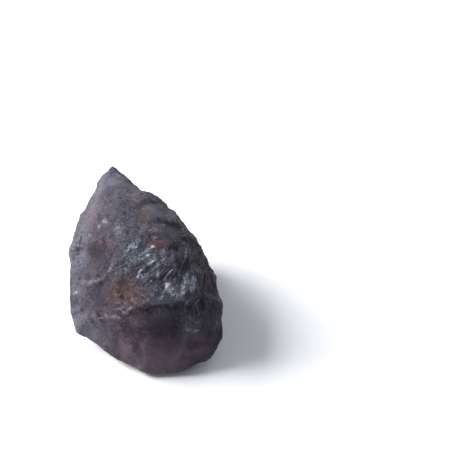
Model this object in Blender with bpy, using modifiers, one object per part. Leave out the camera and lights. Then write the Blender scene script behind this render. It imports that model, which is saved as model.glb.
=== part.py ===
"""A lump of massive iron ore: one broken stone that lies on a flat fracture face.

The corners of the lump are hulled into its big fracture faces, shell-shaped chips are knocked out
of those, and the skin is then broken into tilted plates, ridges and pits. Metres, +Z up, and the
tables are in millimetres. The origin is on the surface that the lump lies on, under the middle of
its box. The front of the lump faces -Y.
"""

import bmesh
import bpy
from mathutils import Vector, noise

MM = 0.001
NODE = "ore_lump"
ROUGH_VOXEL = 1.0  # how fine the skin is while it is being broken
TRIANGLES = 10300  # what the finished lump is thinned to
BALL_DENT = 0.10  # how far from round a chip is
GROUND = (0.2, 0.2, 0.05)  # the block of level ground that the underside is trued against, in metres

# Where the fracture faces meet.
CORNERS = {
    # the crown, from the far peak round to the near shoulders
    "peak": (-20.5, 51, 65.3),
    "peak_left": (-25, 43, 64.5),
    "peak_right": (-12.5, 40, 65),
    "saddle": (-4.5, 33, 63),
    "crown": (-12, 14, 68),
    "crown_left": (-30, 33, 60.5),
    "shoulder_left": (-11, -6, 60),
    "shoulder": (4, -3, 65),
    "shoulder_right": (14, -10, 61),
    # the lip where the near slope of the crown breaks off, and the ridge that runs left from it
    "lip_left": (7, -31, 45),
    "lip_right": (22, -30, 46),
    "ridge": (-12, -34, 34),
    "ridge_left": (-28, -26, 22),
    # the left side, from the back forwards
    "left_high": (-33, 24, 53),
    "left_mid": (-40, 14, 42),
    "left_waist": (-40, 2, 32),
    "left_low": (-39.5, -11, 23),
    "left_toe": (-36, -20, 10),
    # the front foot
    "foot_left": (-20, -30, 7),
    "foot_mid": (-8, -37, 6),
    "foot": (2, -43, 3),
    "foot_right": (24, -41, 3),
    "crest": (2, -38, 20),
    # the right side, from the front backwards
    "right_foot": (35, -36, 8),
    "right_toe": (40.5, -28, 12),
    "right_knee": (30, -35, 26),
    "right_low": (39.5, -22, 22),
    "right_waist": (38.5, -11, 31),
    "right_mid": (33.5, -2, 40),
    "right_high": (26, 8, 49),
    "right_shoulder": (16, 19.5, 57.5),
    "right_crown": (7, 29, 61),
    # the back
    "back_peak": (-16, 52, 46),
    "back_left": (-33, 40, 34),
    "back_low_left": (-27, 50, 14),
    "back_right": (14, 41, 34),
    "back_low_right": (14, 49, 12),
    "back_corner": (31, 24, 18),
    "left_heel": (-38, 18, 12),
    # the fracture face that it lies on
    "base_front": (4, -36, -0.9),
    "base_front_right": (21, -32, -1.1),
    "base_right": (29, -12, -0.8),
    "base_back_right": (23, 22, -1.2),
    "base_back": (2, 40, -0.8),
    "base_back_left": (-19, 38, -1.3),
    "base_left": (-29, 10, -0.9),
    "base_front_left": (-22, -17, -1.2),
}

# Shell-shaped chips: a ball of this radius bites this deep near this point of the skin.
CHIPS = {
    "left_dish": {"at": (-32, 3, 39), "out": (-0.75, -0.25, 0.62), "radius": 15, "depth": 3.0},
    "left_scallop": {"at": (-32, -16, 26), "out": (-0.70, -0.60, 0.40), "radius": 22, "depth": 1.1},
    "left_toe": {"at": (-20, -28, 14), "out": (-0.55, -0.80, 0.15), "radius": 28, "depth": 2.6},
    "under_lip": {"at": (14, -34, 32), "out": (-0.10, -1.0, -0.05), "radius": 22, "depth": 2.8},
    "under_knee": {"at": (27, -33, 26), "out": (0.35, -1.0, -0.10), "radius": 16, "depth": 1.6},
    "right_foot": {"at": (24, -38, 12), "out": (0.35, -0.90, 0.05), "radius": 26, "depth": 1.4},
    "right_flank": {"at": (36, -14, 35), "out": (0.90, -0.10, 0.45), "radius": 26, "depth": 1.6},
    "rust_hollow": {"at": (-8, -26, 46), "out": (-0.20, -0.65, 0.75), "radius": 17, "depth": 1.5},
    "saddle": {"at": (-4, 35, 63), "out": (0.45, 0.70, 0.55), "radius": 15, "depth": 1.5},
    "peak_notch": {"at": (-30, 37, 60), "out": (-0.90, 0.30, 0.40), "radius": 8, "depth": 1.0},
    "back_shell": {"at": (-8, 50, 36), "out": (-0.05, 1.0, 0.15), "radius": 30, "depth": 4.5},
    "back_step": {"at": (4, 48, 14), "out": (0.20, 1.0, -0.25), "radius": 24, "depth": 4.5},
    "back_left_shell": {"at": (-34, 38, 26), "out": (-0.85, 0.50, 0.0), "radius": 24, "depth": 4.0},
    "right_back_shell": {"at": (26, 26, 40), "out": (0.75, 0.55, 0.35), "radius": 24, "depth": 3.6},
    "right_back_step": {"at": (31, 14, 20), "out": (0.95, 0.30, -0.10), "radius": 20, "depth": 3.2},
    "under_shell": {"at": (9, 14, -1), "out": (0.10, 0.05, -1.0), "radius": 70, "depth": 1.9},
    "under_edge": {"at": (-26, -10, 0), "out": (-0.45, -0.20, -1.0), "radius": 24, "depth": 2.4},
    "left_heel": {"at": (-37, 2, 14), "out": (-0.95, 0.0, -0.25), "radius": 22, "depth": 3.4},
}

# How the skin breaks, from the swell of a whole face down to single ridges: each has the width of
# one piece of it and how far it may stand out or in.
SWELL = {"width": 30, "height": 0.7}
PLATES = {"width": 15, "height": 0.62, "bend": 0.22, "start": (4.2, 1.3, 8.6)}
HACKLES = {"width": 6.5, "height": 0.30, "bend": 0.2, "start": (1.7, 6.1, 2.4)}
PITS = {"width": 9, "depth": 0.45, "reach": 0.30}

# Long narrow ridges, as fibrous ore breaks with. They run down the slope of their patch.
STRIAE = {"width": 3.6, "length": 34, "height": 0.5, "lean": 0.25}
STRIAE_AT = {
    "lip": {"at": (18, -17, 52), "reach": 21},
    "flank": {"at": (30, -24, 36), "reach": 19},
    "back": {"at": (14, 44, 40), "reach": 24},
}

# Low steps that run level round their patch, one above the other.
LEDGES = {"rise": 5.2, "height": 0.7, "bend": 5.5}
LEDGES_AT = {
    "brow": {"at": (-16, -30, 30), "reach": 20},
    "left": {"at": (-39, 6, 20), "reach": 15},
    "back": {"at": (-24, 46, 30), "reach": 26},
    "right": {"at": (34, 18, 30), "reach": 22},
}

DRIFT_PLACES = ((9.3, -1.5, -7.9), (0.0, 0.0, 0.0), (6.3, 11.1, -3.8))

# Where the skin is rougher or smoother than elsewhere.
ZONES = {
    "crown_grain": {"at": (2, -16, 58), "reach": 27, "rough": 1.5},
    "front_face": {"at": (10, -40, 12), "reach": 24, "rough": 0.5},
    "left_dish": {"at": (-33, 2, 39), "reach": 11, "rough": 0.4},
}


def clear_scene():
    for obj in list(bpy.data.objects):
        bpy.data.objects.remove(obj)


def collection_for(name):
    made = bpy.data.collections.new(name)
    bpy.context.scene.collection.children.link(made)
    return made


def hulled(corners):
    """The solid whose flat faces span the corners, with no corner left inside it."""
    bm = bmesh.new()
    for corner in corners.values():
        bm.verts.new(Vector(corner) * MM)
    hull = bmesh.ops.convex_hull(bm, input=bm.verts)
    inside = [item for item in hull["geom_interior"] if isinstance(item, bmesh.types.BMVert)]
    bmesh.ops.delete(bm, geom=inside, context="VERTS")
    bmesh.ops.recalc_face_normals(bm, faces=bm.faces)
    mesh = bpy.data.meshes.new(NODE)
    bm.to_mesh(mesh)
    bm.free()
    return mesh


def ball(name, centre, radius):
    """A ball that is a little dented, as no chip is truly round."""
    bm = bmesh.new()
    bmesh.ops.create_icosphere(bm, subdivisions=5, radius=radius)
    for vert in bm.verts:
        turned = vert.co.normalized() * 1.4 + centre / radius
        vert.co *= 1 + noise.noise(turned) * BALL_DENT
    bmesh.ops.translate(bm, vec=centre, verts=bm.verts)
    mesh = bpy.data.meshes.new(name)
    bm.to_mesh(mesh)
    bm.free()
    return bpy.data.objects.new(name, mesh)


def knock_chips(lump, cutters):
    """Adds a Boolean for each chip. The depth is measured from the skin nearest to the chip."""
    for name, chip in CHIPS.items():
        _, skin, _, _ = lump.closest_point_on_mesh(Vector(chip["at"]) * MM)
        out = Vector(chip["out"]).normalized()
        centre = skin + out * (chip["radius"] - chip["depth"]) * MM
        cutter = ball("cut_" + name, centre, chip["radius"] * MM)
        cutter.hide_render = True
        cutter.display_type = "WIRE"
        cutters.objects.link(cutter)
        cut = lump.modifiers.new(name, "BOOLEAN")
        cut.operation = "DIFFERENCE"
        cut.solver = "EXACT"
        cut.object = cutter


def apply_modifiers(obj):
    graph = bpy.context.evaluated_depsgraph_get()
    made = bpy.data.meshes.new_from_object(obj.evaluated_get(graph))
    obj.modifiers.clear()
    obj.data = made
    obj.data.name = NODE


def remesh(obj, voxel):
    step = obj.modifiers.new("skin", "REMESH")
    step.mode = "VOXEL"
    step.voxel_size = voxel * MM
    apply_modifiers(obj)


def swell_at(point):
    return noise.noise(point / SWELL["width"] + Vector((3.1, 7.7, 1.9))) * 2 * SWELL["height"]


def drift(point):
    """A smoothly changing direction."""
    return Vector([noise.noise(point + Vector(place)) for place in DRIFT_PLACES]) * 1.6


def tilted(point, kind):
    """Height of the tilted plate that the point is on. Neighbours meet in a step or a ridge."""
    place = point / kind["width"] + Vector(kind["start"])
    place = place + drift(place * 1.3) * kind["bend"]
    _, centres = noise.voronoi(place)
    lean = noise.cell_vector(centres[0] * 37) * 2 - Vector((1, 1, 1))
    return (place - centres[0]).dot(lean) * 2.2 * kind["height"]


def pit_at(point):
    place = point / PITS["width"] + Vector((9.4, 2.2, 5.8))
    place = place + drift(place * 2.1) * 0.3
    distances, centres = noise.voronoi(place)
    if noise.noise(centres[0] * 5.1) < 0.08:
        return 0.0
    hollow = max(0.0, 1 - (distances[0] / PITS["reach"]) ** 2)
    return -PITS["depth"] * hollow


def share_of(point, patch):
    """One in the middle of a patch, fading to nothing at its reach."""
    away = (point - Vector(patch["at"])).length / patch["reach"]
    return (1 - away * away) ** 2 if away < 1 else 0.0


def roughness_at(point):
    rough = 1.0
    for zone in ZONES.values():
        rough += (zone["rough"] - 1) * min(1.0, share_of(point, zone) * 1.8)
    return rough


def striae_at(point):
    share = max(share_of(point, patch) for patch in STRIAE_AT.values())
    if share == 0.0:
        return 0.0
    across = (point.x + point.y * STRIAE["lean"] * 0.3 + point.z * STRIAE["lean"]) / STRIAE["width"]
    across += noise.noise(point / 17) * 1.6
    along = (point.z - point.y) / STRIAE["length"]
    crest = 1 - 2 * abs(noise.noise(Vector((across, along, 4.0))))
    return (crest - 0.55) * STRIAE["height"] * min(1.0, share * 2.0)


def ledge_at(point):
    share = max(share_of(point, patch) for patch in LEDGES_AT.values())
    if share == 0.0:
        return 0.0
    level = (point.z + noise.noise(point / 11) * LEDGES["bend"]) / LEDGES["rise"]
    return (level % 1 - 0.5) * -LEDGES["height"] * min(1.0, share * 2.0)


def break_skin(obj):
    """Moves every point of the skin along its normal."""
    mesh = obj.data
    normals = [corner.vector.copy() for corner in mesh.vertex_normals]
    for vertex, normal in zip(mesh.vertices, normals):
        point = vertex.co / MM
        plates = tilted(point, PLATES)
        hackles = tilted(point, HACKLES)
        fine = (hackles + pit_at(point)) * roughness_at(point)
        bands = striae_at(point) + ledge_at(point)
        vertex.co += normal * (swell_at(point) + plates + fine + bands) * MM


def thin(obj, triangles):
    obj.data.calc_loop_triangles()
    step = obj.modifiers.new("thin", "DECIMATE")
    step.ratio = triangles / len(obj.data.loop_triangles)
    step.use_collapse_triangulate = True
    apply_modifiers(obj)


def true_base(lump, cutters):
    """Takes off what stands below zero, so that the high places of the underside lie on one plane."""
    bm = bmesh.new()
    bmesh.ops.create_cube(bm, size=1.0)
    bmesh.ops.scale(bm, vec=GROUND, verts=bm.verts)
    bmesh.ops.translate(bm, vec=(0, 0, -GROUND[2] / 2), verts=bm.verts)
    mesh = bpy.data.meshes.new("ground")
    bm.to_mesh(mesh)
    bm.free()
    ground = bpy.data.objects.new("cut_ground", mesh)
    ground.hide_render = True
    ground.display_type = "WIRE"
    cutters.objects.link(ground)
    cut = lump.modifiers.new("base", "BOOLEAN")
    cut.operation = "DIFFERENCE"
    cut.solver = "EXACT"
    cut.object = ground
    lump.modifiers.new("facets", "TRIANGULATE")
    apply_modifiers(lump)


def centre_on_base(mesh):
    """Puts the middle of the box above the origin and the underside at zero."""
    low = Vector([min(vertex.co[axis] for vertex in mesh.vertices) for axis in range(3)])
    high = Vector([max(vertex.co[axis] for vertex in mesh.vertices) for axis in range(3)])
    shift = Vector((-(low.x + high.x) / 2, -(low.y + high.y) / 2, -low.z))
    for vertex in mesh.vertices:
        vertex.co += shift
    print("moved to its origin by", [round(size / MM, 2) for size in shift], "mm")


def ore_material():
    material = bpy.data.materials.new("iron_ore")
    material.use_nodes = True
    shader = material.node_tree.nodes["Principled BSDF"]
    shader.inputs["Base Color"].default_value = (0.085, 0.075, 0.09, 1)
    shader.inputs["Roughness"].default_value = 0.55
    shader.inputs["Metallic"].default_value = 0.0
    return material


def main():
    clear_scene()
    stone = collection_for("iron_ore")
    cutters = collection_for("chips")
    cutters.hide_render = True
    lump = bpy.data.objects.new(NODE, hulled(CORNERS))
    stone.objects.link(lump)
    knock_chips(lump, cutters)
    apply_modifiers(lump)
    remesh(lump, ROUGH_VOXEL)
    break_skin(lump)
    remesh(lump, ROUGH_VOXEL)
    thin(lump, TRIANGLES)
    true_base(lump, cutters)
    centre_on_base(lump.data)
    lump.data.materials.clear()
    lump.data.materials.append(ore_material())


main()
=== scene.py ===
import math

import bpy
import numpy as np
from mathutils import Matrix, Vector, noise


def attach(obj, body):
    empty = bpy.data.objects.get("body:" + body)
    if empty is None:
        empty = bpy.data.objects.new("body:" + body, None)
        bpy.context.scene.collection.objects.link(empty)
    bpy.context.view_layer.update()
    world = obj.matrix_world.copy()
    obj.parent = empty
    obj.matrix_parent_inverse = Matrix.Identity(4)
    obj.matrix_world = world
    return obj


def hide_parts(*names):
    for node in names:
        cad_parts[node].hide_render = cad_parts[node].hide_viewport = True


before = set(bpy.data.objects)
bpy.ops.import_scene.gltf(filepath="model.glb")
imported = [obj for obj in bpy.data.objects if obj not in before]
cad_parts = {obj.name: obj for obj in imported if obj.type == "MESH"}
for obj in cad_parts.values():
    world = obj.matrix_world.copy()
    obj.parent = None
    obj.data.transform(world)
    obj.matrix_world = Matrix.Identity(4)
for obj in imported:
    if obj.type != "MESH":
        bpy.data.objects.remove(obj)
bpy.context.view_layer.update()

mm = 0.001
print("frame loaded:", sorted(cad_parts))


# The camera comes first, because the spots on the stone are placed through it.

cameraSetup = {
    "place": (0.04164, -0.33643, 0.34439),
    "tiltUp": 50.0,  # degrees up from looking straight down
    "lens": 70.0,
    "sensor": 36.0,
    "frame": 450,  # the render is this many pixels wide and high
}


def addCamera(setup):
    data = bpy.data.cameras.new("studioCamera")
    data.lens = setup["lens"]
    data.sensor_width = setup["sensor"]
    data.clip_start = 0.01
    made = bpy.data.objects.new("studioCamera", data)
    made.location = setup["place"]
    made.rotation_euler = (math.radians(setup["tiltUp"]), 0, 0)
    bpy.context.scene.collection.objects.link(made)
    bpy.context.scene.camera = made
    bpy.context.view_layer.update()
    return made


def skinAt(camera, stone, pixel):
    # the place on the stone, in metres, that this pixel of the render looks at
    half = cameraSetup["frame"] / 2
    focal = cameraSetup["lens"] / cameraSetup["sensor"] * cameraSetup["frame"]
    aim = Vector(((pixel[0] - half) / focal, (half - pixel[1]) / focal, -1)).normalized()
    aim = camera.matrix_world.to_3x3() @ aim
    hit, place, _, _ = stone.ray_cast(camera.matrix_world.translation, aim)
    if not hit:
        raise ValueError("pixel " + str(pixel) + " misses the stone")
    return place


camera = addCamera(cameraSetup)
print("camera set")


# The stone's skin: a fine copy of the CAD solid, melted smooth and carved again.

skinSetup = {
    "voxel": 0.59,  # mm between the points of the skin
    "soften": 2,  # smoothing rounds that every edge gets
    "melt": 22,  # smoothing rounds that melt the CAD facets into the faces
    "edge": (0.15, 0.42),  # mm: an edge that melting would move this far stays crisp
    "foot": 1.5,  # mm: carving fades out below this height, so the underside stays flat
    # Widths, heights and lengths are in mm. A start picks which part of the endless noise is used.
    "wobble": {"width": 2.6, "height": 0.9, "starts": (1.0, 12.0, 23.0), "fullReach": 4},
    "plates": {"width": 5.5, "height": 0.27, "bend": 0.22, "stretch": 1.0, "start": 1.7},
    "slabs": {"width": 13.0, "height": 1.0, "bend": 0.15, "stretch": 1.0, "start": 11.2},
    "grains": {"width": 1.9, "height": 0.16, "bend": 0.18, "stretch": 2.0, "start": 6.4},
    "ripple": {"width": 9.0, "height": 0.30, "start": 4.0},
    "dimple": {"width": 1.2, "height": 0.08, "start": 8.0},
    "striae": {"width": 1.7, "length": 16.0, "height": 0.50, "crest": 0.5, "sharp": 2.6, "bed": -0.45},
    "ledges": {"rise": 1.9, "height": 0.30, "bend": 1.2, "bendWidth": 7, "dip": 0.25},
    # How the carving changes over the stone: fainter where it is smooth, stronger where it is far.
    "smoothCalm": 0.82,
    "farRough": 1.1,
    "farFrom": 0.25,
    "farOver": 0.4,
    "grainShare": 0.65,
    "grainOnMetal": 0.35,  # the share that grains lose on bare metal
    "shineRise": 0.15,
    # How the finish reads the carving: wear and a painted highlight on raised edges, and painted shade
    # in the hollows.
    "wornAndLitEdge": 0.30,
    "wornAndLitRelief": 0.6,
    "hollowShadeRelief": 0.8,
    "hollowShadeEdge": 1.2,
    "skyFrom": 0.1,
}

# Striae spread like a fan from a pivot; their widths are as given at the fan's spread from it.
fan = {
    "pixel": (187, 243),
    "across": (0.86, -0.07, -0.51),
    "down": (-0.25, -0.87, -0.43),
    "spread": 18.0,
    "sway": 2.5,  # how far the streaks of the finish wander
    "swayWidth": 9.0,
}

# Each spot lies on the skin where a pixel looks, or nearest to a place of three numbers in mm,
# and fades out at its reach in mm. One that has a second place is a stroke from the first to it.
spots = {
    "metal": [
        {"at": (135, 253), "reach": 13, "share": 1.0},
        {"at": (152, 256), "reach": 10, "share": 0.8},
        {"at": (148, 272), "reach": 13, "share": 1.0},
        {"at": (172, 286), "reach": 11, "share": 0.9},
        {"at": (190, 282), "reach": 9, "share": 0.9},
        {"at": (158, 296), "to": (182, 296), "reach": 4.5, "share": 1.0},
        {"at": (157, 229), "reach": 7, "share": 0.35},
        {"at": (180, 262), "reach": 8, "share": 0.4},
        {"at": (200, 300), "reach": 9, "share": 0.2},
        {"at": (192, 329), "reach": 5, "share": 0.8},
        {"at": (118, 232), "reach": 7, "share": 0.2},
        {"at": (122, 264), "reach": 8, "share": 0.6},
        {"at": (30, 30, 28), "reach": 19, "share": 0.9},
        {"at": (5, 46, 20), "reach": 14, "share": 0.6},
        {"at": (-33, 22, 18), "reach": 15, "share": 0.7},
        {"at": (38, -5, 12), "reach": 12, "share": 0.6},
        {"at": (12, 44, 42), "reach": 12, "share": 0.7},
    ],
    "ochre": [
        {"at": (116, 286), "to": (120, 290), "reach": 3.5, "share": 0.7},
        {"at": (120, 290), "to": (133, 301), "reach": 3.5, "share": 0.8},
        {"at": (124, 292), "reach": 12, "share": 0.25},
        {"at": (117, 250), "reach": 6, "share": 0.4},
        {"at": (92, 238), "reach": 6, "share": 0.55},
        {"at": (135, 342), "reach": 11, "share": 0.25},
        {"at": (36, -6, 24), "reach": 8, "share": 0.5},
        {"at": (-5, 46, 12), "reach": 9, "share": 0.5},
    ],
    "rust": [
        {"at": (150, 242), "to": (163, 243), "reach": 4.6, "share": 0.75},
        {"at": (131, 192), "to": (148, 220), "reach": 9, "share": 0.5},
        {"at": (142, 212), "reach": 6, "share": 0.4},
        {"at": (92, 272), "reach": 4.5, "share": 0.6},
        {"at": (109, 243), "reach": 4.0, "share": 0.7},
        {"at": (118, 288), "to": (133, 297), "reach": 12, "share": 0.55},
        {"at": (146, 301), "reach": 4, "share": 0.5},
        {"at": (106, 306), "to": (122, 318), "reach": 9, "share": 0.25},
        {"at": (20, 40, 34), "reach": 13, "share": 0.6},
        {"at": (-20, 40, 22), "reach": 11, "share": 0.5},
        {"at": (38, 12, 16), "reach": 11, "share": 0.6},
        {"at": (34, 18, 38), "reach": 8, "share": 0.5},
    ],
    "striated": [
        {"at": (148, 266), "reach": 14, "share": 0.6},
        {"at": (168, 274), "reach": 13, "share": 1.0},
        {"at": (186, 270), "reach": 12, "share": 1.0},
        {"at": (199, 300), "reach": 12, "share": 0.5},
        {"at": (192, 320), "reach": 8, "share": 0.4},
        {"at": (30, 26, 32), "reach": 17, "share": 0.9},
        {"at": (-34, 26, 22), "reach": 13, "share": 0.8},
    ],
    # Dark spots are darker rock, and painted shade on the right flank, under the lip and at the top of
    # the dish.
    "darkAndShade": [
        {"at": (102, 291), "reach": 12, "share": 0.95},
        {"at": (106, 302), "reach": 13, "share": 0.75},
        {"at": (130, 292), "reach": 18, "share": 0.5},
        {"at": (92, 251), "to": (106, 252), "reach": 6, "share": 0.9},
        {"at": (102, 265), "reach": 10, "share": 0.7},
        {"at": (186, 244), "reach": 20, "share": 1.0},
        {"at": (200, 260), "reach": 14, "share": 1.0},
        {"at": (167, 270), "reach": 8, "share": 0.9},
        {"at": (206, 280), "reach": 20, "share": 1.0},
        {"at": (207, 302), "reach": 14, "share": 1.0},
        {"at": (175, 314), "reach": 15, "share": 0.5},
        {"at": (172, 334), "reach": 16, "share": 0.4},
        {"at": (134, 222), "reach": 13, "share": 0.3},
        {"at": (34, 14, 44), "to": (26, 34, 14), "reach": 7, "share": 0.7},
        {"at": (-2, 45, 26), "reach": 11, "share": 0.7},
        {"at": (134, 268), "reach": 4.5, "share": 0.7},
        {"at": (112, 308), "to": (138, 306), "reach": 8, "share": 0.3},
        {"at": (158, 242), "reach": 6, "share": 0.35},
        {"at": (161, 258), "to": (162, 284), "reach": 3.6, "share": 0.8},
        {"at": (180, 262), "to": (178, 284), "reach": 3.2, "share": 0.8},
        {"at": (150, 291), "reach": 5, "share": 0.5},
        {"at": (140, 267), "reach": 6, "share": 0.5},
        {"at": (180, 346), "reach": 10, "share": 0.3},
        {"at": (120, 252), "reach": 5, "share": 0.5},
        {"at": (90, 310), "reach": 7, "share": 0.3},
        {"at": (196, 264), "to": (194, 252), "reach": 6, "share": 0.5},
        {"at": (178, 286), "to": (179, 294), "reach": 2.6, "share": 0.7},
    ],
    # Pink spots are mostly painted bounce light from the floor on the low faces and on an unlit face,
    # with some pink tone on the top left.
    "pinkAndBounceLight": [
        {"at": (146, 358), "reach": 25, "share": 1.0},
        {"at": (176, 368), "reach": 17, "share": 0.5},
        {"at": (128, 345), "reach": 14, "share": 0.4},
        {"at": (130, 320), "reach": 11, "share": 0.7},
        {"at": (199, 345), "reach": 13, "share": 0.6},
        {"at": (90, 222), "reach": 13, "share": 0.5},
        {"at": (36, 14, 10), "reach": 16, "share": 0.7},
        {"at": (-18, 44, 10), "reach": 16, "share": 0.6},
        {"at": (10, 46, 30), "reach": 14, "share": 0.5},
        {"at": (89, 312), "reach": 10, "share": 0.4},
        {"at": (94, 207), "reach": 8, "share": 0.4},
        {"at": (112, 302), "reach": 8, "share": 0.3},
    ],
    # Shine spots are painted highlights on bright metal faces.
    "paintedShine": [
        {"at": (187, 275), "to": (184, 291), "reach": 2.2, "share": 1.0},
        {"at": (194, 279), "to": (192, 290), "reach": 2.4, "share": 1.0},
        {"at": (168, 285), "to": (168, 290), "reach": 2.4, "share": 1.0},
        {"at": (173, 290), "reach": 2.2, "share": 0.5},
        {"at": (186, 249), "to": (185, 257), "reach": 1.5, "share": 0.7},
        {"at": (164, 251), "to": (163, 260), "reach": 2.0, "share": 0.7},
        {"at": (158, 261), "to": (158, 276), "reach": 1.8, "share": 0.5},
        {"at": (155, 258), "to": (149, 264), "reach": 1.8, "share": 0.6},
        {"at": (141, 270), "to": (138, 277), "reach": 1.4, "share": 0.7},
        {"at": (153, 272), "to": (144, 279), "reach": 2.0, "share": 0.6},
        {"at": (133, 247), "reach": 5.0, "share": 0.6},
        {"at": (130, 258), "reach": 6.0, "share": 0.45},
        {"at": (148, 255), "reach": 2.0, "share": 0.8},
        {"at": (187, 329), "to": (198, 331), "reach": 2.6, "share": 0.5},
        {"at": (155, 230), "reach": 3.6, "share": 0.5},
        {"at": (163, 225), "reach": 2.4, "share": 0.5},
        {"at": (153, 247), "reach": 1.8, "share": 1.0},
        {"at": (183, 229), "reach": 1.3, "share": 0.8},
        {"at": (99, 226), "reach": 1.7, "share": 0.6},
        {"at": (104, 222), "to": (109, 224), "reach": 1.5, "share": 0.5},
        {"at": (90, 235), "to": (92, 236), "reach": 1.3, "share": 0.55},
        {"at": (83, 242), "to": (85, 241), "reach": 1.3, "share": 0.5},
        {"at": (79, 245), "reach": 2.0, "share": 0.7},
        {"at": (117, 233), "to": (121, 232), "reach": 1.4, "share": 0.5},
        {"at": (75, 293), "to": (77, 292), "reach": 1.4, "share": 0.7},
        {"at": (117, 303), "to": (120, 302), "reach": 1.3, "share": 0.7},
        {"at": (156, 297), "to": (182, 297), "reach": 3.2, "share": 0.5},
        {"at": (140, 260), "reach": 5.0, "share": 0.2},
        {"at": (191, 277), "to": (188, 288), "reach": 1.6, "share": 0.9},
        {"at": (104, 222), "reach": 5.5, "share": 0.38},
        {"at": (117, 228), "reach": 6, "share": 0.36},
        {"at": (79, 244), "reach": 4.5, "share": 0.3},
    ],
    # Scratches whose crests carry a painted highlight.
    "litScratch": [
        {"at": (199, 299), "to": (196, 304), "reach": 1.0, "share": 0.65},
        {"at": (195, 306), "to": (193, 309), "reach": 1.0, "share": 0.5},
        {"at": (188, 300), "to": (186, 305), "reach": 1.0, "share": 0.65},
        {"at": (185, 308), "to": (184, 311), "reach": 1.0, "share": 0.5},
        {"at": (200, 312), "to": (198, 316), "reach": 1.0, "share": 0.55},
        {"at": (191, 315), "to": (190, 319), "reach": 1.0, "share": 0.55},
        {"at": (207, 304), "to": (205, 307), "reach": 1.0, "share": 0.5},
        {"at": (183, 261), "to": (178, 276), "reach": 1.1, "share": 0.8},
        {"at": (187, 252), "to": (184, 262), "reach": 1.0, "share": 0.6},
        {"at": (178, 262), "to": (174, 275), "reach": 1.0, "share": 0.5},
    ],
    "chip": [
        {"at": (105, 314), "to": (108, 318), "reach": 1.1, "share": 1.0},
        {"at": (112, 317), "to": (119, 317), "reach": 1.1, "share": 0.85},
        {"at": (131, 307), "to": (126, 314), "reach": 1.1, "share": 1.0},
        {"at": (114, 310), "to": (121, 309), "reach": 1.0, "share": 0.7},
        {"at": (122, 312), "to": (128, 309), "reach": 1.0, "share": 0.6},
        {"at": (97, 318), "to": (104, 318), "reach": 1.1, "share": 0.8},
        {"at": (90, 321), "to": (95, 318), "reach": 1.6, "share": 0.7},
        {"at": (126, 320), "to": (131, 318), "reach": 1.7, "share": 0.8},
        {"at": (134, 319), "to": (138, 323), "reach": 1.7, "share": 0.7},
        {"at": (139, 325), "to": (143, 321), "reach": 1.7, "share": 0.6},
        {"at": (104, 303), "to": (109, 298), "reach": 1.0, "share": 0.6},
        {"at": (131, 298), "to": (137, 304), "reach": 1.0, "share": 0.6},
        {"at": (88, 306), "to": (94, 302), "reach": 1.0, "share": 0.5},
        {"at": (100, 309), "to": (106, 307), "reach": 1.0, "share": 0.5},
    ],
    # Pale spots are pale dust, and painted light on the lit peak, the left edges, rims, ridges, the lip
    # and the low front.
    "pale": [
        {"at": (111, 178), "reach": 14, "share": 1.0},
        {"at": (130, 196), "reach": 13, "share": 0.75},
        {"at": (146, 206), "reach": 9, "share": 0.5},
        {"at": (92, 208), "reach": 13, "share": 0.8},
        {"at": (82, 232), "reach": 13, "share": 0.8},
        {"at": (75, 258), "reach": 15, "share": 0.9},
        {"at": (77, 292), "reach": 12, "share": 0.7},
        {"at": (77, 316), "reach": 11, "share": 0.6},
        {"at": (83, 332), "reach": 15, "share": 1.0},
        {"at": (104, 338), "reach": 16, "share": 0.4},
        {"at": (133, 250), "reach": 8, "share": 0.5},
        {"at": (96, 320), "reach": 5, "share": 0.7},
        {"at": (130, 318), "reach": 10, "share": 0.5},
        {"at": (136, 330), "reach": 13, "share": 0.3},
        {"at": (113, 264), "to": (107, 276), "reach": 2.2, "share": 1.0},
        {"at": (107, 276), "to": (101, 281), "reach": 2.2, "share": 1.0},
        {"at": (101, 281), "to": (82, 283), "reach": 2.4, "share": 0.9},
        {"at": (187, 234), "to": (201, 250), "reach": 2.6, "share": 0.4},
        {"at": (156, 300), "to": (184, 298), "reach": 1.8, "share": 0.9},
        {"at": (110, 317), "to": (118, 317), "reach": 1.6, "share": 0.4},
        {"at": (120, 309), "to": (131, 304), "reach": 1.6, "share": 0.6},
        {"at": (126, 314), "to": (132, 308), "reach": 1.6, "share": 0.8},
        {"at": (132, 321), "to": (139, 324), "reach": 2.0, "share": 0.5},
        {"at": (142, 364), "reach": 17, "share": 0.5},
        {"at": (40, -4, 30), "to": (38, 10, 44), "reach": 7, "share": 0.7},
        {"at": (28, 34, 40), "to": (34, 28, 12), "reach": 6, "share": 0.7},
        {"at": (-24, 38, 34), "to": (-14, 45, 14), "reach": 6, "share": 0.6},
        {"at": (38, 2, 8), "reach": 10, "share": 0.5},
        {"at": (109, 173), "reach": 8, "share": 1.0},
        {"at": (97, 192), "reach": 7, "share": 0.8},
        {"at": (83, 220), "reach": 6, "share": 0.8},
        {"at": (73, 250), "reach": 7, "share": 0.8},
        {"at": (144, 306), "to": (157, 302), "reach": 3, "share": 0.5},
        {"at": (150, 303), "to": (170, 302), "reach": 4, "share": 0.9},
        {"at": (122, 282), "reach": 5, "share": 0.5},
        {"at": (99, 228), "reach": 4.5, "share": 0.6},
        {"at": (106, 212), "reach": 6, "share": 0.4},
        {"at": (94, 328), "reach": 7, "share": 0.4},
        {"at": (91, 317), "to": (97, 315), "reach": 1.6, "share": 0.7},
        {"at": (101, 315), "to": (108, 317), "reach": 1.6, "share": 0.4},
        {"at": (120, 319), "to": (127, 321), "reach": 1.6, "share": 0.7},
        {"at": (138, 323), "to": (143, 326), "reach": 1.6, "share": 0.6},
    ],
    "smooth": [
        {"at": (112, 186), "reach": 16, "share": 0.8},
        {"at": (93, 264), "reach": 12, "share": 1.0},
        {"at": (80, 302), "reach": 16, "share": 0.6},
        {"at": (150, 211), "reach": 14, "share": 0.6},
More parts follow.
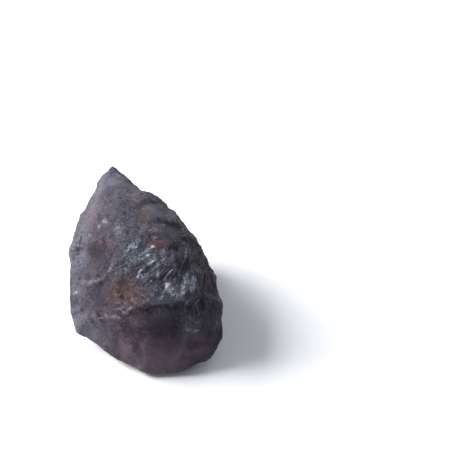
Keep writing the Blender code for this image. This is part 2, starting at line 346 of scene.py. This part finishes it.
        {"at": (104, 303), "reach": 10, "share": 0.6},
        {"at": (158, 296), "to": (178, 296), "reach": 4, "share": 0.9},
        {"at": (160, 350), "reach": 22, "share": 1.0},
        {"at": (195, 345), "reach": 16, "share": 0.8},
        {"at": (115, 345), "reach": 14, "share": 0.7},
        {"at": (38, -8, 12), "reach": 14, "share": 0.8},
        {"at": (-24, 38, 14), "reach": 16, "share": 0.7},
        {"at": (96, 334), "reach": 13, "share": 0.7},
    ],
    "ledged": [
        {"at": (100, 317), "reach": 9, "share": 0.5},
        {"at": (124, 315), "reach": 9, "share": 0.6},
        {"at": (145, 320), "reach": 8, "share": 0.6},
        {"at": (38, 8, 25), "reach": 16, "share": 1.0},
        {"at": (-10, 44, 35), "reach": 17, "share": 1.0},
        {"at": (-38, 2, 14), "reach": 14, "share": 0.9},
        {"at": (22, 42, 10), "reach": 13, "share": 0.9},
    ],
    # Lifts are in mm, and a negative one is a hollow.
    "lift": [
        {"at": (92, 264), "to": (98, 258), "reach": 12, "share": -1.7},
        {"at": (114, 262), "to": (107, 276), "reach": 2.6, "share": 0.9},
        {"at": (107, 276), "to": (101, 281), "reach": 2.6, "share": 1.1},
        {"at": (101, 281), "to": (78, 283), "reach": 2.6, "share": 0.5},
        {"at": (84, 246), "to": (108, 239), "reach": 4.5, "share": 0.8},
        {"at": (116, 289), "to": (133, 295), "reach": 7, "share": -0.2},
        {"at": (155, 298), "to": (184, 297), "reach": 4.5, "share": 1.3},
        {"at": (152, 309), "to": (188, 307), "reach": 4.5, "share": -1.1},
        {"at": (192, 290), "to": (196, 276), "reach": 8, "share": 3.0},
        {"at": (204, 278), "to": (196, 300), "reach": 4, "share": -0.9},
        {"at": (97, 312), "to": (142, 308), "reach": 3, "share": 0.5},
        {"at": (101, 315), "to": (108, 317), "reach": 1.7, "share": 0.4},
        {"at": (110, 317), "to": (118, 317), "reach": 1.7, "share": 0.4},
        {"at": (120, 309), "to": (131, 304), "reach": 1.6, "share": 0.3},
        {"at": (126, 314), "to": (132, 308), "reach": 1.6, "share": 0.35},
        {"at": (90, 320), "to": (101, 322), "reach": 2.2, "share": 0.4},
        {"at": (132, 321), "to": (139, 324), "reach": 2.2, "share": 0.4},
        {"at": (38, 8, 32), "to": (32, 26, 20), "reach": 10, "share": -1.5},
        {"at": (40, -4, 32), "to": (39, 14, 12), "reach": 3.2, "share": 1.0},
        {"at": (14, 44, 38), "to": (24, 38, 14), "reach": 3.2, "share": 1.0},
        {"at": (-2, 46, 30), "to": (4, 46, 14), "reach": 9, "share": -1.5},
        {"at": (-26, 34, 32), "to": (-20, 40, 12), "reach": 3.2, "share": 1.0},
        {"at": (33, 22, 46), "to": (24, 36, 30), "reach": 3.0, "share": 0.8},
        {"at": (115, 171), "to": (128, 180), "reach": 8, "share": -2.2},
        {"at": (91, 317), "to": (97, 315), "reach": 1.7, "share": 0.6},
        {"at": (120, 319), "to": (127, 321), "reach": 1.7, "share": 0.6},
        {"at": (138, 323), "to": (143, 326), "reach": 1.7, "share": 0.5},
        {"at": (94, 321), "to": (140, 329), "reach": 3.0, "share": -0.5},
    ],
}


def copyOf(cad, name):
    bpy.ops.object.select_all(action="DESELECT")
    made = bpy.data.objects.new(name, cad.data.copy())
    bpy.context.scene.collection.objects.link(made)
    made.data.materials.clear()
    made.select_set(True)
    bpy.context.view_layer.objects.active = made
    bpy.ops.object.mode_set(mode="EDIT")
    bpy.ops.mesh.select_all(action="SELECT")
    bpy.ops.mesh.remove_doubles(threshold=1e-6)
    bpy.ops.object.mode_set(mode="OBJECT")
    return made


def applyModifier(piece, kind, settings):
    step = piece.modifiers.new(kind.lower(), kind)
    for name, value in settings.items():
        setattr(step, name, value)
    bpy.context.view_layer.objects.active = piece
    bpy.ops.object.modifier_apply(modifier=step.name)


def pointsOf(piece):
    flat = np.empty(len(piece.data.vertices) * 3)
    piece.data.vertices.foreach_get("co", flat)
    return flat.reshape(-1, 3) / mm


def placePoints(piece, points):
    points[:, 2] = np.maximum(points[:, 2], 0)
    piece.data.vertices.foreach_set("co", (points * mm).ravel())
    piece.data.update()


def normalsOf(piece):
    flat = np.empty(len(piece.data.vertices) * 3)
    piece.data.vertex_normals.foreach_get("vector", flat)
    return flat.reshape(-1, 3)


def skinPlace(where):
    if len(where) == 2:
        return np.array(skinAt(camera, stone, where)) / mm
    return np.array(stone.closest_point_on_mesh(Vector(where) * mm)[1]) / mm


def fadeOf(spot, points):
    # 1 along the spot's line and 0 from its reach outwards; a thin line follows the skin in steps
    first = np.array(spot["at"], float)
    last = np.array(spot.get("to", spot["at"]), float)
    length = np.linalg.norm(skinPlace(last) - skinPlace(first))
    stride = 2.5 * spot["reach"]
    places = [skinPlace(where) for where in np.linspace(first, last, int(length / stride) + 2)]
    swayed = points + wobble * min(spot["reach"] / skinSetup["wobble"]["fullReach"], 1)
    fade = np.zeros(len(points))
    for start, end in zip(places, places[1:]):
        run = end - start
        along = np.clip((swayed - start) @ run / max(run @ run, 1e-9), 0, 1)
        away = np.linalg.norm(swayed - start - along[:, None] * run, axis=1) / spot["reach"]
        fade = np.maximum(fade, np.clip(1 - away * away, 0, 1) ** 2)
    return fade


def shareOf(name, points):
    share = np.zeros(len(points))
    for spot in spots[name]:
        here = fadeOf(spot, points) * spot["share"]
        share = share + here - share * here
    return share


def softNoise(points, width, start):
    shift = Vector((start, start * 1.7 + 3.1, start * 0.6 - 5.2))
    return np.array([noise.noise(Vector(point) / width + shift) for point in points])


def rollNoise(points, kind):
    return softNoise(points, kind["width"], kind["start"]) * kind["height"]


def plateNoise(points, kind):
    # tilted plates, as rock breaks in: neighbours meet in a step or a ridge
    heights = np.empty(len(points))
    start = kind["start"]
    shift = Vector((start, start + 2.3, start + 7.1))
    squeeze = 1 - 1 / kind["stretch"]
    run = Vector(fan["down"]).normalized()
    for index, point in enumerate(points):
        place = Vector(point)
        place = (place - run * place.dot(run) * squeeze) / kind["width"] + shift
        finer = place * 1.3
        bend = Vector((noise.noise(finer), noise.noise(finer + shift), 0.2))
        place = place + bend * kind["bend"] * 2
        centre = noise.voronoi(place)[1][0]
        lean = noise.cell_vector(centre * 37) * 2 - Vector((1, 1, 1))  # 37 parts the plates' cells
        heights[index] = (place - centre).dot(lean)
    return heights * kind["height"]


def striaeNoise(points, kind):
    away = points - np.array(pivot) / mm
    flat = np.stack([away @ np.array(fan["across"]), away @ np.array(fan["down"])], axis=1)
    far = np.linalg.norm(flat, axis=1)[:, None] + 1e-6
    places = np.hstack([flat / far * fan["spread"] / kind["width"], far / kind["length"]])
    folds = np.array([abs(noise.noise(Vector(place))) for place in places])
    return np.maximum(kind["crest"] - kind["sharp"] * folds, kind["bed"]) * kind["height"]


def ledgeNoise(points, kind):
    heights = np.empty(len(points))
    for index, (x, y, z) in enumerate(points):
        bend = noise.noise(Vector((x, y, z)) / kind["bendWidth"]) * kind["bend"]
        level = (z + kind["dip"] * x + bend) / kind["rise"]
        heights[index] = 0.5 - level % 1
    return heights * kind["height"]


def pushOut(piece, lift):
    points = pointsOf(piece)
    foot = np.clip(points[:, 2] / skinSetup["foot"], 0, 1)
    placePoints(piece, points + normalsOf(piece) * (lift * foot)[:, None])


def farShare(piece):
    # how far the skin is turned away from the camera
    facing = normalsOf(piece) @ np.array(camera.matrix_world.to_3x3() @ Vector((0, 0, 1)))
    return np.clip((skinSetup["farFrom"] - facing) / skinSetup["farOver"], 0, 1)


def carveSkin(piece, shares):
    setup = skinSetup
    points = pointsOf(piece)
    calm = (1 - setup["smoothCalm"] * shares["smooth"]) * (1 + setup["farRough"] * shares["far"])
    grainShare = setup["grainShare"] - setup["grainOnMetal"] * shares["metal"]
    lift = rollNoise(points, setup["ripple"])
    lift += plateNoise(points, setup["plates"]) * calm
    lift += plateNoise(points, setup["slabs"]) * shares["far"] ** 3
    lift += plateNoise(points, setup["grains"]) * calm * grainShare
    lift += rollNoise(points, setup["dimple"]) * calm
    lift += striaeNoise(points, setup["striae"]) * shares["striated"]
    lift += shares["paintedShine"] * setup["shineRise"]
    lift += ledgeNoise(points, setup["ledges"]) * shares["ledged"]
    pushOut(piece, lift)
    return lift


def keepShare(piece, name, values):
    layer = piece.data.attributes.new(name, "FLOAT", "POINT")
    layer.data.foreach_set("value", np.clip(values, 0, 1).astype(np.float32))


def meltFacets(piece):
    # faces go smooth, and the edges that melting would round away keep their line
    applyModifier(piece, "SMOOTH", {"factor": 0.5, "iterations": skinSetup["soften"]})
    crisp = pointsOf(piece)
    applyModifier(piece, "SMOOTH", {"factor": 0.5, "iterations": skinSetup["melt"]})
    melted = pointsOf(piece)
    low, high = skinSetup["edge"]
    keep = np.clip((np.linalg.norm(crisp - melted, axis=1) - low) / (high - low), 0, 1)
    bulge = np.sum((crisp - melted) * normalsOf(piece), axis=1)
    placePoints(piece, melted + (crisp - melted) * keep[:, None])
    return bulge


stone = copyOf(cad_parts["ore_lump"], "oreStone")
applyModifier(stone, "REMESH", {"mode": "VOXEL", "voxel_size": skinSetup["voxel"] * mm})
bulge = meltFacets(stone)
print("skin laid:", len(stone.data.vertices), "points")

points = pointsOf(stone)
sway = skinSetup["wobble"]
wobble = [softNoise(points, sway["width"], start) * sway["height"] for start in sway["starts"]]
wobble = np.stack(wobble, axis=1)
pushOut(stone, sum(fadeOf(spot, points) * spot["share"] for spot in spots["lift"]))
points = pointsOf(stone)
pivot = skinAt(camera, stone, fan["pixel"])
shares = {name: shareOf(name, points) for name in spots if name != "lift"}
shares["far"] = farShare(stone)
relief = carveSkin(stone, shares)
print("skin carved")

for name, values in shares.items():
    if name != "ledged":  # ledges are only carved, and no colour reads them
        keepShare(stone, name, values)
skyFrom = skinSetup["skyFrom"]
# upward faces, where dust and painted sky light go
keepShare(stone, "sky", (normalsOf(stone)[:, 2] + skyFrom) / (1 + skyFrom))
# raised edges and crests, for wear and a painted edge highlight
keepShare(stone, "wornAndEdgeLight", bulge / skinSetup["wornAndLitEdge"] + relief * skinSetup["wornAndLitRelief"])
# hollows and creases, for painted shade
keepShare(stone, "hollowShade", 0.5 - relief * skinSetup["hollowShadeRelief"] - bulge * skinSetup["hollowShadeEdge"])
bpy.ops.object.select_all(action="DESELECT")
stone.select_set(True)
bpy.context.view_layer.objects.active = stone
bpy.ops.object.shade_smooth()


# Materials, written as sums of sockets.

class Wire:
    # a socket that does sums: each operator adds a Math node
    def __init__(self, shader, socket):
        self.shader = shader
        self.socket = socket

    def maths(self, operation, first, second):
        return self.shader.node("ShaderNodeMath", {"operation": operation}, {0: first, 1: second})

    def __add__(self, other):
        return self.maths("ADD", self, other)

    def __radd__(self, other):
        return self.maths("ADD", other, self)

    def __sub__(self, other):
        return self.maths("SUBTRACT", self, other)

    def __rsub__(self, other):
        return self.maths("SUBTRACT", other, self)

    def __mul__(self, other):
        return self.maths("MULTIPLY", self, other)

    def __rmul__(self, other):
        return self.maths("MULTIPLY", other, self)

    def __truediv__(self, other):
        return self.maths("DIVIDE", self, other)

    def __abs__(self):
        return self.maths("ABSOLUTE", self, 0.0)


class Shader:
    def __init__(self, name):
        self.material = bpy.data.materials.new(name)
        self.material.use_nodes = True
        self.tree = self.material.node_tree
        self.surface = self.tree.nodes["Principled BSDF"]
        self.place = self.node("ShaderNodeTexCoord", {}, {}, "Object")

    def node(self, kind, settings, values, out=0):
        made = self.tree.nodes.new(kind)
        for name, value in settings.items():
            setattr(made, name, value)
        for name, value in values.items():
            if isinstance(value, Wire):
                self.tree.links.new(value.socket, made.inputs[name])
            else:
                made.inputs[name].default_value = value
        return Wire(self, made.outputs[out])

    def attribute(self, name):
        return self.node("ShaderNodeAttribute", {"attribute_name": name}, {}, "Fac")

    def cloud(self, width, detail, roughness=0.55, distortion=0.0):
        values = {"Vector": self.place, "Scale": 1 / (width * mm), "Detail": detail,
                  "Roughness": roughness, "Distortion": distortion}
        return self.node("ShaderNodeTexNoise", {}, values, "Fac")

    def cells(self, width, out):
        values = {"Vector": self.place, "Scale": 1 / (width * mm)}
        return self.node("ShaderNodeTexVoronoi", {}, values, out)

    def step(self, wire, low, high):
        # nothing below low, all above high, and soft between
        values = {"Value": wire, "From Min": low, "From Max": high}
        return self.node("ShaderNodeMapRange", {"interpolation_type": "SMOOTHSTEP"}, values)

    def mix(self, share, first, second):
        return self.node("ShaderNodeMix", {"data_type": "RGBA"}, {0: share, 6: first, 7: second}, 2)

    def vectors(self, operation, values, out="Vector"):
        return self.node("ShaderNodeVectorMath", {"operation": operation}, values, out)

    def facets(self, width):
        # small flat breaks, each tilted its own way, as a height in metres
        offset = self.vectors("SUBTRACT", {0: self.place, 1: self.cells(width, "Position")})
        lean = self.vectors("SUBTRACT", {0: self.cells(width, "Color"), 1: (0.5, 0.5, 0.5)})
        return self.vectors("DOT_PRODUCT", {0: offset, 1: lean}, "Value")

    def streaks(self, width, length):
        # long thin ridges that spread from the pivot, as the carved striae do
        away = self.vectors("SUBTRACT", {0: self.place, 1: pivot})
        across = self.vectors("DOT_PRODUCT", {0: away, 1: fan["across"]}, "Value")
        down = self.vectors("DOT_PRODUCT", {0: away, 1: fan["down"]}, "Value")
        flat = self.node("ShaderNodeCombineXYZ", {}, {"X": across, "Y": down})
        far = self.vectors("LENGTH", {0: flat}, "Value")
        side = self.vectors("NORMALIZE", {0: flat})
        side = self.vectors("SCALE", {0: side, "Scale": fan["spread"] / width})
        sway = self.cloud(fan["swayWidth"], 2) * (fan["sway"] / width)
        rest = self.node("ShaderNodeCombineXYZ", {}, {"X": sway, "Z": far / (length * mm)})
        place = self.vectors("ADD", {0: side, 1: rest})
        return self.node("ShaderNodeTexNoise", {}, {"Vector": place, "Scale": 1.0, "Detail": 3.0}, "Fac")

    def bump(self, height, distance, under=None):
        # the distance is in mm
        values = {"Height": height, "Distance": distance * mm, "Strength": 1.0}
        if under:
            values["Normal"] = under
        return self.node("ShaderNodeBump", {}, values)

    def feed(self, name, value):
        if isinstance(value, Wire):
            self.tree.links.new(value.socket, self.surface.inputs[name])
        else:
            self.surface.inputs[name].default_value = value


oreColours = {
    "rockDark": (0.020, 0.014, 0.023, 1),
    "rockMid": (0.053, 0.040, 0.054, 1),
    # dust with painted sky light: lighter and bluer than the rock, on the upward faces
    "dustAndSkyLight": (0.048, 0.048, 0.075, 1),
    "warmDustAndSkyLight": (0.056, 0.051, 0.073, 1),
    # pale dust, and the colour of painted light on lit edges
    "pale": (0.122, 0.117, 0.150, 1),
    # painted bounce light, with a little pink tone
    "pinkAndBounceLight": (0.106, 0.069, 0.087, 1),
    "steel": (0.050, 0.054, 0.069, 1),
    "steelBlue": (0.046, 0.058, 0.078, 1),
    "rust": (0.082, 0.040, 0.033, 1),
    "ochre": (0.088, 0.058, 0.036, 1),
    "glint": (0.165, 0.178, 0.20, 1),
    # painted highlight
    "paintedGleam": (0.29, 0.312, 0.362, 1),
    # painted shade in the hollows and cracks
    "crackShade": (0.008, 0.006, 0.008, 1),
    "chip": (0.185, 0.155, 0.172, 1),
}


# A stain shows where its spots are. A cloud breaks up its edge: width in mm, detail, roughness and
# distortion. The edge moves with the cloud by "ragged" and fades in over the span.
oreStains = {
    "sky": {"cloud": (5.0, 7, 0.68), "ragged": 0.7, "span": (0.50, 1.10), "share": 0.85},
    "pale": {"cloud": (1.6, 7, 0.75), "ragged": 0.4, "span": (0.05, 1.1), "share": 0.9},
    "wornAndEdgeLight": {"cloud": (1.5, 4), "ragged": 0.8, "span": (0.15, 0.9), "share": 0.22},
    "pinkAndBounceLight": {"cloud": (7.0, 5), "ragged": 0.6, "span": (0.0, 0.8), "share": 0.8},
    "darkAndShade": {"cloud": (4.0, 6, 0.65), "ragged": 0.6, "span": (0.0, 0.9), "share": 0.9},
    "rust": {"cloud": (2.2, 7, 0.72), "ragged": 1.3, "span": (0.05, 0.90), "share": 0.75},
    "ochre": {"cloud": (2.8, 7, 0.62, 1.5), "middle": 0.52, "ragged": 2.0, "span": (0.20, 1.0),
              "share": 0.55},
    "paintedShine": {"cloud": (1.1, 3, 0.7), "ragged": 0.7, "span": (0.12, 0.75), "share": 0.85},
    "litScratch": {"cloud": (1.3, 3), "ragged": 1.1, "span": (0.22, 0.80), "share": 0.38},
    "chip": {"cloud": (1.3, 3), "ragged": 0.9, "span": (0.22, 0.85), "share": 0.47},
}

oreFinish = {
    # clouds: width in mm, detail, roughness and distortion
    "patches": (11.0, 6, 0.6),
    "warmTone": (13.0, 3),
    "grit": (0.9, 3, 0.7),
    "flecks": (1.9, 5, 0.7),
    "strayMetal": (15.0, 5, 0.6, 0.6),
    "blueSteel": (7.0, 2),
    "crystals": (3.2, 4, 0.6),
    "crystalWidth": 0.8,
    # streaks: width and length in mm
    "stripes": (1.5, 14.0),
    "lines": (1.6, 14.0),
    "wideCuts": (1.5, 9.0),
    "fineCuts": (0.7, 4.0),
    "striae": (0.55, 9.0),
    "metalStriae": (0.9, 5.0),
    # how strongly each shows
    "gritPale": 0.32,
    "gritDark": 0.45,
    "metal": 0.9,
    "crackShade": 0.35,
    "glint": 0.8,
    "metallic": 0.9,
    "roughness": 0.70,
    "metalGloss": 0.24,
    "specular": 0.18,
    # heights of the bumps in mm; facets bring their own height, in metres
    "gritBump": 0.34,
    "facetBump": 1000.0,
    "smallFacets": 0.7,
    "largeFacets": 1.5,
    "striaeBump": 0.45,
    "metalBump": 0.48,
}


def stainOf(ore, name, more=0):
    # where a stain shows; more is added to its raggedness
    stain = oreStains[name]
    cloud = ore.cloud(*stain["cloud"]) - stain.get("middle", 0.5)
    return ore.step(ore.attribute(name) + cloud * (stain["ragged"] + more), *stain["span"])


def stained(ore, under, where, name, colour):
    return ore.mix(where * oreStains[name]["share"], under, oreColours[colour])


def rockColour(ore, grit, rough, darkAndShade):
    # bare rock, dust with painted sky light on top, pale dust with painted light, painted bounce light,
    # wear with painted edge light, painted shade, and grit
    patches = ore.step(ore.cloud(*oreFinish["patches"]), 0.36, 0.66)
    rock = ore.mix(patches, oreColours["rockDark"], oreColours["rockMid"])
    warm = ore.step(ore.cloud(*oreFinish["warmTone"]), 0.48, 0.62)
    dustAndSkyLight = ore.mix(warm, oreColours["dustAndSkyLight"], oreColours["warmDustAndSkyLight"])
    # upward faces get dust and painted sky light, less of it in the hollows and on metal
    dustAndSkyLightShare = stainOf(ore, "sky") * ore.step(ore.attribute("hollowShade"), 1.0, 0.35)
    dustAndSkyLightShare = dustAndSkyLightShare * (1 - ore.attribute("metal") * 0.85)
    rock = ore.mix(dustAndSkyLightShare * oreStains["sky"]["share"], rock, dustAndSkyLight)
    rock = stained(ore, rock, stainOf(ore, "pale", rough), "pale", "pale")
    # wear and a painted highlight on raised edges
    rock = stained(ore, rock, stainOf(ore, "wornAndEdgeLight"), "wornAndEdgeLight", "pale")
    rock = stained(ore, rock, stainOf(ore, "pinkAndBounceLight"), "pinkAndBounceLight", "pinkAndBounceLight")
    rock = stained(ore, rock, darkAndShade, "darkAndShade", "rockDark")
    paleGrit = ore.step(grit, 0.50, 0.66) * rough * (1 - darkAndShade * 0.7)
    darkGrit = ore.step(grit, 0.48, 0.34) * rough
    rock = ore.mix(paleGrit * oreFinish["gritPale"], rock, oreColours["pale"])
    return ore.mix(darkGrit * oreFinish["gritDark"], rock, oreColours["rockDark"])


def metalOf(ore, striated, darkAndShade):
    # where the metal lies bare: flecks and, on the striae, stripes
    flecks = ore.step(ore.cloud(*oreFinish["flecks"]), 0.25, 0.50)
    stray = ore.step(ore.cloud(*oreFinish["strayMetal"]), 0.52, 0.64) * ore.attribute("far") * 0.7
    stripes = ore.step(ore.streaks(*oreFinish["stripes"]), 0.42, 0.60)
    stripes = 1 - striated * (1 - stripes) * 0.85
    return ore.step((ore.attribute("metal") + stray) * flecks * stripes * (1 - darkAndShade * 0.9), 0.05, 0.70)


def glintsOf(ore, striated, smooth):
    # crystal faces, and thin bright lines on the striae that are painted highlights
    crystals = ore.step(ore.cells(oreFinish["crystalWidth"], "Color"), 0.72, 0.80)
    crystals = crystals * ore.step(ore.cloud(*oreFinish["crystals"]), 0.48, 0.64)
    crystals = crystals * (1 - smooth * 0.95) * 0.65
    lines = ore.step(abs(ore.streaks(*oreFinish["lines"]) - 0.5), 0.030, 0.008) * striated * 0.6
    return crystals + lines * (1 - crystals)


def paintedShineOf(ore):
    # a painted highlight on the metal, cut into short columns along the striae
    wide = ore.streaks(*oreFinish["wideCuts"]) + (ore.cloud(0.8, 3) - 0.5) * 0.3
    fine = ore.streaks(*oreFinish["fineCuts"]) + (ore.cloud(0.6, 3, 0.7) - 0.5) * 0.6
    columns = ore.step(wide, 0.42, 0.56) * ore.step(fine, 0.38, 0.56)
    return stainOf(ore, "paintedShine") * (0.15 + columns * 0.85)


def skinBumps(ore, grit, rough, smooth, striated):
    metalHere = ore.attribute("metal")
    small = ore.facets(oreFinish["smallFacets"]) * (0.55 - metalHere * 0.15)
    large = ore.facets(oreFinish["largeFacets"]) * (0.6 - smooth * 0.5) * (1 - metalHere * 0.75)
    striae = ore.streaks(*oreFinish["striae"]) * striated
    metalStriae = ore.streaks(*oreFinish["metalStriae"]) * metalHere * (1 - smooth * 0.8)
    skin = ore.bump(grit * rough, oreFinish["gritBump"])
    skin = ore.bump(small, oreFinish["facetBump"], skin)
    skin = ore.bump(large, oreFinish["facetBump"], skin)
    skin = ore.bump(striae, oreFinish["striaeBump"], skin)
    return ore.bump(metalStriae, oreFinish["metalBump"], skin)


def oreMaterial():
    ore = Shader("massiveHematite")
    striated = ore.attribute("striated")
    smooth = ore.attribute("smooth")
    grit = ore.cloud(*oreFinish["grit"])
    rough = 1 - smooth * 0.75
    # darker rock and painted shade
    darkAndShade = stainOf(ore, "darkAndShade")
    rust = stainOf(ore, "rust")
    ochre = stainOf(ore, "ochre")
    metal = metalOf(ore, striated, darkAndShade)
    glints = glintsOf(ore, striated, smooth)
    paintedShine = paintedShineOf(ore)

    blue = ore.step(ore.cloud(*oreFinish["blueSteel"]), 0.50, 0.64)
    steel = ore.mix(blue, oreColours["steel"], oreColours["steelBlue"])
    base = ore.mix(metal * oreFinish["metal"], rockColour(ore, grit, rough, darkAndShade), steel)
    base = stained(ore, base, rust, "rust", "rust")
    base = stained(ore, base, ochre, "ochre", "ochre")
    # painted shade darkens the hollows and cracks
    deepShade = ore.step(ore.attribute("hollowShade"), 0.62, 1.0)
    base = ore.mix(deepShade * oreFinish["crackShade"], base, oreColours["crackShade"])
    # crystal faces, and painted highlight lines on the striae
    base = ore.mix(glints * oreFinish["glint"], base, oreColours["glint"])
    # painted highlight on the shine spots
    base = stained(ore, base, paintedShine, "paintedShine", "paintedGleam")
    # painted highlight on the scratch crests
    base = stained(ore, base, stainOf(ore, "litScratch"), "litScratch", "paintedGleam")
    base = stained(ore, base, stainOf(ore, "chip"), "chip", "chip")
    ore.feed("Base Color", base)

    clean = metal * (1 - (rust + ochre) * 0.5)
    clean = clean + glints * (1 - clean)
    gloss = clean * (1 - paintedShine * 0.7) * oreFinish["metalGloss"]
    ore.feed("Metallic", clean * oreFinish["metallic"] * (1 - paintedShine * 0.55))
    ore.feed("Roughness", oreFinish["roughness"] - gloss + (ore.cloud(1.4, 3) - 0.5) * 0.3)
    ore.feed("Specular IOR Level", oreFinish["specular"])
    ore.feed("Normal", skinBumps(ore, grit, rough, smooth, striated))
    return ore.material


stone.data.materials.append(oreMaterial())
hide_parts("ore_lump")
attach(stone, "root")
print("stone finished:", len(stone.data.polygons), "faces")


# The studio: a pale floor, a soft light from the left, a weak one from behind and a dim sky.

studioSetup = {
    "floorSize": 6.0,
    "floorColour": (0.76, 0.76, 0.76, 1),
    "sky": (0.80, 0.87, 1.0, 1),
    "skyStrength": 0.40,
    "lights": {
        "keyLight": {"place": (-0.68, 0.12, 0.58), "size": 0.55, "power": 21.5},
        "fillLight": {"place": (0.42, 0.85, 0.28), "size": 0.70, "power": 6.0},
    },
}


def addFloor(setup):
    bpy.ops.mesh.primitive_plane_add(size=setup["floorSize"], location=(0, 0, 0))
    floor = bpy.context.active_object
    floor.name = "studioFloor"
    paint = Shader("floorPaint")
    paint.feed("Base Color", setup["floorColour"])
    paint.feed("Roughness", 0.9)
    floor.data.materials.append(paint.material)


def addLight(name, setup):
    data = bpy.data.lights.new(name, "AREA")
    data.size = setup["size"]
    data.energy = setup["power"]
    made = bpy.data.objects.new(name, data)
    made.location = setup["place"]
    made.rotation_euler = (-Vector(setup["place"])).to_track_quat("-Z", "Y").to_euler()
    bpy.context.scene.collection.objects.link(made)


bpy.ops.object.select_all(action="DESELECT")
addFloor(studioSetup)
for name, setup in studioSetup["lights"].items():
    addLight(name, setup)
world = bpy.data.worlds.new("studioSky")
world.use_nodes = True
background = world.node_tree.nodes["Background"]
background.inputs["Color"].default_value = studioSetup["sky"]
background.inputs["Strength"].default_value = studioSetup["skyStrength"]
bpy.context.scene.world = world
bpy.context.scene.view_settings.view_transform = "Standard"
print("studio lit")
